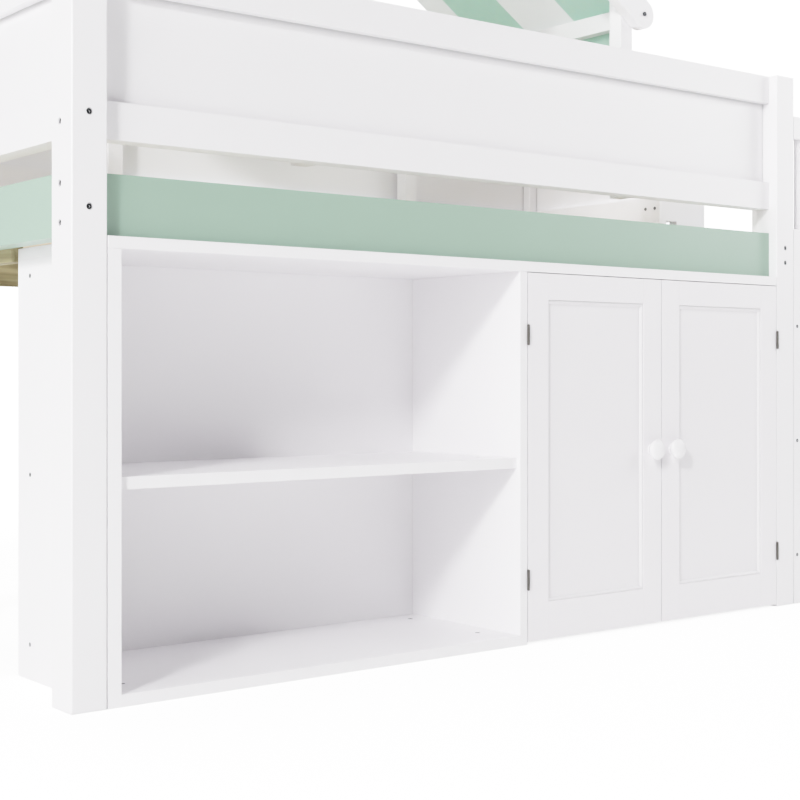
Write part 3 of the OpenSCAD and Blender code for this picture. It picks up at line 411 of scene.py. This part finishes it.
def wovenCotton(name, width, s):
    # plain woven cotton with dyed stripes: matt, a soft fuzz at the edges, a fine grid of threads
    material, tree = newMaterial(name)
    place = addNode(tree, "ShaderNodeUVMap").outputs[0]
    parts = addNode(tree, "ShaderNodeSeparateXYZ", links={"Vector": place})
    ragged = addNode(tree, "ShaderNodeTexNoise",
                     values={"Scale": 1000 / s["raggedMillimetres"], "Detail": 1.0}, links={"Vector": place})
    jitter = addNode(tree, "ShaderNodeMath", settings={"operation": "MULTIPLY_ADD"},
                     values={1: s["raggedDepth"]},
                     links={0: ragged.outputs["Fac"], 2: parts.outputs["Y"]})
    share = addNode(tree, "ShaderNodeMath", settings={"operation": "DIVIDE"}, values={1: width / 1000},
                    links={0: jitter.outputs[0]})
    stripes = addNode(tree, "ShaderNodeValToRGB", links={"Fac": share.outputs[0]})
    ramp = stripes.color_ramp
    ramp.interpolation = "CONSTANT"
    bands = math.ceil(width / s["stripe"])
    for k in range(2, bands):
        ramp.elements.new(k / bands)
    for k, element in enumerate(ramp.elements):
        element.position = k * s["stripe"] / width
        element.color = linear(s["colours"][k % 2])
    turns = math.pi * 1000 / s["threadMillimetres"]
    threads = []
    for side in ("X", "Y"):
        scaled = addNode(tree, "ShaderNodeMath", settings={"operation": "MULTIPLY"}, values={1: turns},
                         links={0: parts.outputs[side]})
        threads.append(addNode(tree, "ShaderNodeMath", settings={"operation": "SINE"},
                               links={0: scaled.outputs[0]}))
    weave = addNode(tree, "ShaderNodeMath", settings={"operation": "MULTIPLY"},
                    links={0: threads[0].outputs[0], 1: threads[1].outputs[0]})
    slub = addNode(tree, "ShaderNodeTexNoise",
                   values={"Scale": 1000 / s["slubMillimetres"], "Detail": 4.0, "Roughness": 0.65},
                   links={"Vector": place})
    woven = addNode(tree, "ShaderNodeMapRange",
                    values={"From Min": -1.0, "To Min": s["threadShade"], "To Max": 1.0},
                    links={"Value": weave.outputs[0]})
    toned = addNode(tree, "ShaderNodeMix", settings={"data_type": "RGBA", "blend_type": "MULTIPLY"},
                    values={0: 1.0}, links={6: stripes.outputs["Color"], 7: woven.outputs[0]})
    cloudy = addNode(tree, "ShaderNodeMix", settings={"data_type": "RGBA", "blend_type": "SOFT_LIGHT"},
                     values={0: s["slubShade"]}, links={6: toned.outputs[2], 7: slub.outputs["Color"]})
    bump = addNode(tree, "ShaderNodeBump", values={"Strength": 0.5, "Distance": s["threadDepth"]},
                   links={"Height": weave.outputs[0]})
    shader = addNode(tree, "ShaderNodeBsdfPrincipled",
                     values={"IOR": 1.46, "Roughness": s["roughness"], "Sheen Weight": s["fuzz"],
                             "Sheen Roughness": 0.5},
                     links={"Base Color": cloudy.outputs[2], "Normal": bump.outputs[0]})
    through = addNode(tree, "ShaderNodeBsdfTranslucent",
                      links={"Color": cloudy.outputs[2], "Normal": bump.outputs[0]})
    both = addNode(tree, "ShaderNodeMixShader", values={0: s["glow"]},
                   links={1: shader.outputs[0], 2: through.outputs[0]})
    addNode(tree, "ShaderNodeOutputMaterial", links={"Surface": both.outputs[0]})
    return material


white = {axis: sprayedLacquer("whiteSatinLacquer" + axis, axis, whiteSettings) for axis in "XYZ"}
cabinetWhite = {axis: sprayedLacquer("whiteCabinetLacquer" + axis, axis, cabinetSettings) for axis in "XZ"}
guardWhite = {axis: sprayedLacquer("whiteGuardLacquer" + axis, axis, guardSettings) for axis in "XY"}
doorWhite = {axis: sprayedLacquer("whiteDoorLacquer" + axis, axis, doorSettings) for axis in "XZ"}
panelWhite = sprayedLacquer("whitePanelLacquerZ", "Z", panelSettings)
mint = {"X": sprayedLacquer("mintSatinLacquerX", "X", mintSettings),
        "Y": sprayedLacquer("mintSatinLacquerY", "Y", endMintSettings)}
slatPine = sandedPine("sandedPineY", "Y", pineSettings)
ledgePine = {axis: sandedPine("shadedOlivePine" + axis, axis, ledgeSettings) for axis in "XY"}
zincSteel = platedSteel("zincPlatedSteel", zincSettings)
nickelSteel = platedSteel("darkNickelledSteel", nickelSettings)
blackSteel = platedSteel("blackenedSteel", blackSettings)
catchPlastic = mouldedPlastic("mouldedAbs", plasticSettings)
print("materials made")

# Boards and fittings: what each is made of, and how far its edges are rounded, in metres
mintPieces = ("side_rail_front", "side_rail_rear", "end_rail_left", "end_rail_right")
ledgePieces = ("ledge_front", "ledge_rear", "end_ledges")
blackPieces = ("frame_bolts", "cam_locks")
zincPieces = ("barrel_nuts", "shelf_pins")
bracketPieces = ("ladder_brackets", "corner_brackets")
nickelPieces = ("hinge_leaves", "hinge_pins", "door_left_fittings", "door_right_fittings")
edgeWidths = {"white": 0.0016, "door": 0.0007, "mint": 0.002, "pine": 0.0012, "fitting": 0.0003}
edgeSettings = {
    "weld": 0.00001,
    "flatDegrees": 0.5,
    "sharpDegrees": 40,
    "steps": 2,
}
# pieces in several parts, whose grain doesn't run along the longest side of their common box
grainPieces = {"end_ledges": "Y", "roof_uprights": "Z", "door_left_rails": "X", "door_right_rails": "X",
               "ladder_treads": "Y", "eave_bars": "Y"}


def longestSide(name):
    low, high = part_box(name)
    sizes = list(high - low)
    return "XYZ"[sizes.index(max(sizes))]


def finishFor(name, axis):
    if name in mintPieces:
        return mint[axis], edgeWidths["mint"]
    if name == "slats":
        return slatPine, edgeWidths["pine"]
    if name in ledgePieces:
        return ledgePine[axis], edgeWidths["pine"]
    if name in zincPieces:
        return zincSteel, 0
    if name in bracketPieces:
        return zincSteel, edgeWidths["fitting"]
    if name in nickelPieces:
        return nickelSteel, 0
    if name in blackPieces:
        return blackSteel, 0
    if name == "door_catches":
        return catchPlastic, edgeWidths["fitting"]
    if name.endswith("_knob"):
        return white[axis], 0
    if name in ("door_left_panel", "door_right_panel"):
        return panelWhite, edgeWidths["door"]
    if name.startswith("door_"):
        return doorWhite[axis], edgeWidths["door"]
    if name.startswith("guard_") and name.endswith("_panel"):
        return guardWhite[axis], edgeWidths["white"]
    if name.startswith("cabinet_") or name.endswith("_shelf"):
        return cabinetWhite[axis], edgeWidths["white"]
    return white[axis], edgeWidths["white"]


def roundEdges(piece, width, s):
    weld = piece.modifiers.new("weldEdges", "WELD")
    weld.merge_threshold = s["weld"]
    flat = piece.modifiers.new("flatFaces", "DECIMATE")
    flat.decimate_type = "DISSOLVE"
    flat.angle_limit = math.radians(s["flatDegrees"])
    bevel = piece.modifiers.new("roundedEdges", "BEVEL")
    bevel.width = width
    bevel.segments = s["steps"]
    bevel.limit_method = "ANGLE"
    bevel.angle_limit = math.radians(s["sharpDegrees"])
    bevel.harden_normals = True
    bevel.use_clamp_overlap = True


for name, piece in nodes.items():
    if name == "canopy_cloth":
        continue
    finish, edge = finishFor(name, grainPieces.get(name) or longestSide(name))
    piece.data.materials.clear()
    piece.data.materials.append(finish)
    if edge:
        roundEdges(piece, edge, edgeSettings)
print("boards and fittings finished")

# The cloth over the roof frame, in millimetres
clothSettings = {
    "ridgeX": 1074.0,
    "frontY": 118.0,
    "width": 630.0,
    "pitch": 34.3,  # of the roof, in degrees
    "poleRadius": 22.0,
    "poleZ": 1903.7,
    "barEdge": (537.0, 1564.0),  # outer top edge of an eave bar: distance from the ridge, height
    "cornerRadius": 0.55,  # of that edge
    "clear": 1.3,  # from the pole and bars to the middle of the cloth
    "drop": 150.0,  # past the eave bars
    "sag": 9.0,
    "sagAtEdges": 0.35,  # share of the sag that the long edges take
    "waves": 3.5,  # along the hanging edges
    "waveDepth": 8.5,
    "foldDepth": 2.2,
    "foldLean": 0.25,  # how much more the folds go in than out
    "foldsAcross": 7.0,
    "foldsAlong": 0.0022,  # per millimetre, so that the folds run down the slope
    "foldSeed": 1.7,
    "foldSides": 3.1,  # how far apart the folds of the two sides are in the noise
    "hangFoldDepth": 1.6,
    "hangFoldFineness": 2.3,
    "rows": 90,  # of faces, on each side of the ridge
    "columns": 44,  # of faces, between the hems
    "hem": 18.0,
    "hemLines": (0.0, 0.004, 0.024, 0.028),  # shares of the width, from one edge
    "thickness": 1.6,  # of the folded hem
    "plainThickness": 0.45,  # share of that
}
cotton = wovenCotton("wovenStripedCotton", clothSettings["width"], cottonSettings)


def clothRoute(s):
    # half of the cloth's way seen from the front: over the pole, down the slope, round the bar's edge, down
    pitch = math.radians(s["pitch"])
    poleR = s["poleRadius"] + s["clear"]
    cornerR = s["cornerRadius"] + s["clear"]
    corner = [side - s["cornerRadius"] for side in s["barEdge"]]
    start = (poleR * math.sin(pitch), s["poleZ"] + poleR * math.cos(pitch))
    end = (corner[0] + cornerR * math.sin(pitch), corner[1] + cornerR * math.cos(pitch))
    lengths = (poleR * pitch, math.hypot(end[0] - start[0], end[1] - start[1]),
               cornerR * (math.pi / 2 - pitch), s["drop"])
    return {"pitch": pitch, "poleR": poleR, "cornerR": cornerR, "corner": corner, "start": start, "end": end,
            "lengths": lengths}


def clothPlace(s, route, length):
    # the middle of the cloth at a distance length from the ridge, the way out of its face,
    # and how much of the sag and of the hanging waves it takes there
    arc, slope, bend, drop = route["lengths"]
    pitch, start, end, corner = route["pitch"], route["start"], route["end"], route["corner"]
    if length <= arc:
        turn = length / route["poleR"]
        outward = (math.sin(turn), math.cos(turn))
        place = (route["poleR"] * outward[0], s["poleZ"] + route["poleR"] * outward[1])
        return place, outward, 0.0, 0.0
    if length <= arc + slope:
        share = (length - arc) / slope
        outward = (math.sin(pitch), math.cos(pitch))
        place = (start[0] + share * (end[0] - start[0]), start[1] + share * (end[1] - start[1]))
        return place, outward, math.sin(math.pi * share), 0.0
    if length <= arc + slope + bend:
        turn = pitch + (length - arc - slope) / route["cornerR"]
        outward = (math.sin(turn), math.cos(turn))
        place = (corner[0] + route["cornerR"] * outward[0], corner[1] + route["cornerR"] * outward[1])
        return place, outward, 0.0, 0.0
    fall = length - arc - slope - bend
    return (corner[0] + route["cornerR"], corner[1] - fall), (1.0, 0.0), 0.0, min(1.0, fall / drop)


def clothPush(s, side, v, length, slack, wave):
    # how far the cloth stands out of its straight way: sag, hanging waves and small folds;
    # v runs from 0 at the front edge to 1
    push = -s["sag"] * slack * (s["sagAtEdges"] + (1 - s["sagAtEdges"]) * math.sin(math.pi * v))
    push += s["waveDepth"] * wave * (1 - math.cos(2 * math.pi * s["waves"] * v)) / 2
    fold = Vector((v * s["foldsAcross"] + side * s["foldSides"], length * s["foldsAlong"], s["foldSeed"]))
    push += s["foldDepth"] * slack * (noise.noise(fold) - s["foldLean"])
    push += s["hangFoldDepth"] * wave * noise.noise(fold * s["hangFoldFineness"])
    return push


def clothMesh(s, rows, columns, half, route):
    verts, flatPlaces = [], []
    for length in rows:
        side = -1 if length < 0 else 1
        place, outward, slack, wave = clothPlace(s, route, abs(length))
        for v in columns:
            push = clothPush(s, side, v, abs(length), slack, wave)
            verts.append(bedPoint(s["ridgeX"] + side * (place[0] + outward[0] * push),
                                  s["frontY"] + v * s["width"], place[1] + outward[1] * push))
            flatPlaces.append((length + half, v * s["width"]))
    n = len(columns)
    faces = [(r * n + c, r * n + c + 1, (r + 1) * n + c + 1, (r + 1) * n + c)
             for r in range(len(rows) - 1) for c in range(n - 1)]
    mesh = bpy.data.meshes.new("canopyCloth")
    mesh.from_pydata(verts, [], faces)
    uvLayer = mesh.uv_layers.new(name="clothPlace")
    for loop in mesh.loops:
        a, b = flatPlaces[loop.vertex_index]
        uvLayer.data[loop.index].uv = (a / 1000, b / 1000)
    for face in mesh.polygons:
        face.use_smooth = True
    return mesh, flatPlaces


def makeCanopy(s):
    route = clothRoute(s)
    half = sum(route["lengths"])
    rows = [half * k / s["rows"] for k in range(-s["rows"], s["rows"] + 1)]
    inner = s["hemLines"][-1]
    columns = list(s["hemLines"])
    columns += [inner + (1 - 2 * inner) * k / s["columns"] for k in range(1, s["columns"])]
    columns += [1 - line for line in reversed(s["hemLines"])]
    mesh, flatPlaces = clothMesh(s, rows, columns, half, route)
    cloth = bpy.data.objects.new("canopyCloth", mesh)
    scene.collection.objects.link(cloth)
    cloth.data.materials.append(cotton)
    # the hems are folded twice, so they are thicker than the rest
    hemGroup = cloth.vertex_groups.new(name="hems")
    for index, (a, b) in enumerate(flatPlaces):
        inHem = min(b, s["width"] - b, a, 2 * half - a) < s["hem"]
        hemGroup.add([index], 1.0 if inHem else s["plainThickness"], "REPLACE")
    thick = cloth.modifiers.new("clothThickness", "SOLIDIFY")
    thick.thickness = s["thickness"] / 1000
    thick.offset = 0
    thick.vertex_group = "hems"
    thick.thickness_vertex_group = 0.0
    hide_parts("canopy_cloth")
    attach(cloth, "frame")


makeCanopy(clothSettings)
print("canopy draped")

floorSettings = {
    "colour": "#f7f7f6",
    "roughness": (0.7, 0.8),
    "cloudMillimetres": 1250,
    "glow": 0.33,  # towards the bed
    "nearGlow": 1.9,  # towards the camera, so that a faint shadow stays round the feet
    "farGlow": 4.2,  # towards the camera, so that the floor runs into the backdrop
    "fadeFrom": 1.4,
    "fadeTo": 4.5,
    "reach": 30.0,
}


def paleStudioFloor(s):
    # matt painted floor, so bright that it runs into the backdrop away from the bed
    material, tree = newMaterial("paleStudioFloor")
    place = addNode(tree, "ShaderNodeTexCoord").outputs["Object"]
    cloud = addNode(tree, "ShaderNodeTexNoise", values={"Scale": 1000 / s["cloudMillimetres"], "Detail": 2.0},
                    links={"Vector": place})
    smooth, rough = s["roughness"]
    gloss = addNode(tree, "ShaderNodeMapRange", values={"To Min": smooth, "To Max": rough},
                    links={"Value": cloud.outputs["Fac"]})
    ray = addNode(tree, "ShaderNodeLightPath")
    far = addNode(tree, "ShaderNodeVectorMath", settings={"operation": "LENGTH"}, links={0: place})
    seen = addNode(tree, "ShaderNodeMapRange", settings={"interpolation_type": "SMOOTHSTEP"},
                   values={"From Min": s["fadeFrom"], "From Max": s["fadeTo"], "To Min": s["nearGlow"],
                           "To Max": s["farGlow"]},
                   links={"Value": far.outputs["Value"]})
    glow = addNode(tree, "ShaderNodeMapRange", values={"To Min": s["glow"]},
                   links={"Value": ray.outputs["Is Camera Ray"], "To Max": seen.outputs[0]})
    shader = addNode(tree, "ShaderNodeBsdfPrincipled",
                     values={"Base Color": linear(s["colour"]), "Emission Color": (1, 1, 1, 1)},
                     links={"Roughness": gloss.outputs[0], "Emission Strength": glow.outputs[0]})
    addNode(tree, "ShaderNodeOutputMaterial", links={"Surface": shader.outputs[0]})
    return material


reach = floorSettings["reach"]
floorMesh = bpy.data.meshes.new("studioFloor")
floorMesh.from_pydata([(-reach, -reach, 0), (reach, -reach, 0), (reach, reach, 0), (-reach, reach, 0)], [],
                      [(0, 1, 2, 3)])
studioFloor = bpy.data.objects.new("studioFloor", floorMesh)
scene.collection.objects.link(studioFloor)
studioFloor.data.materials.append(paleStudioFloor(floorSettings))
print("floor laid")
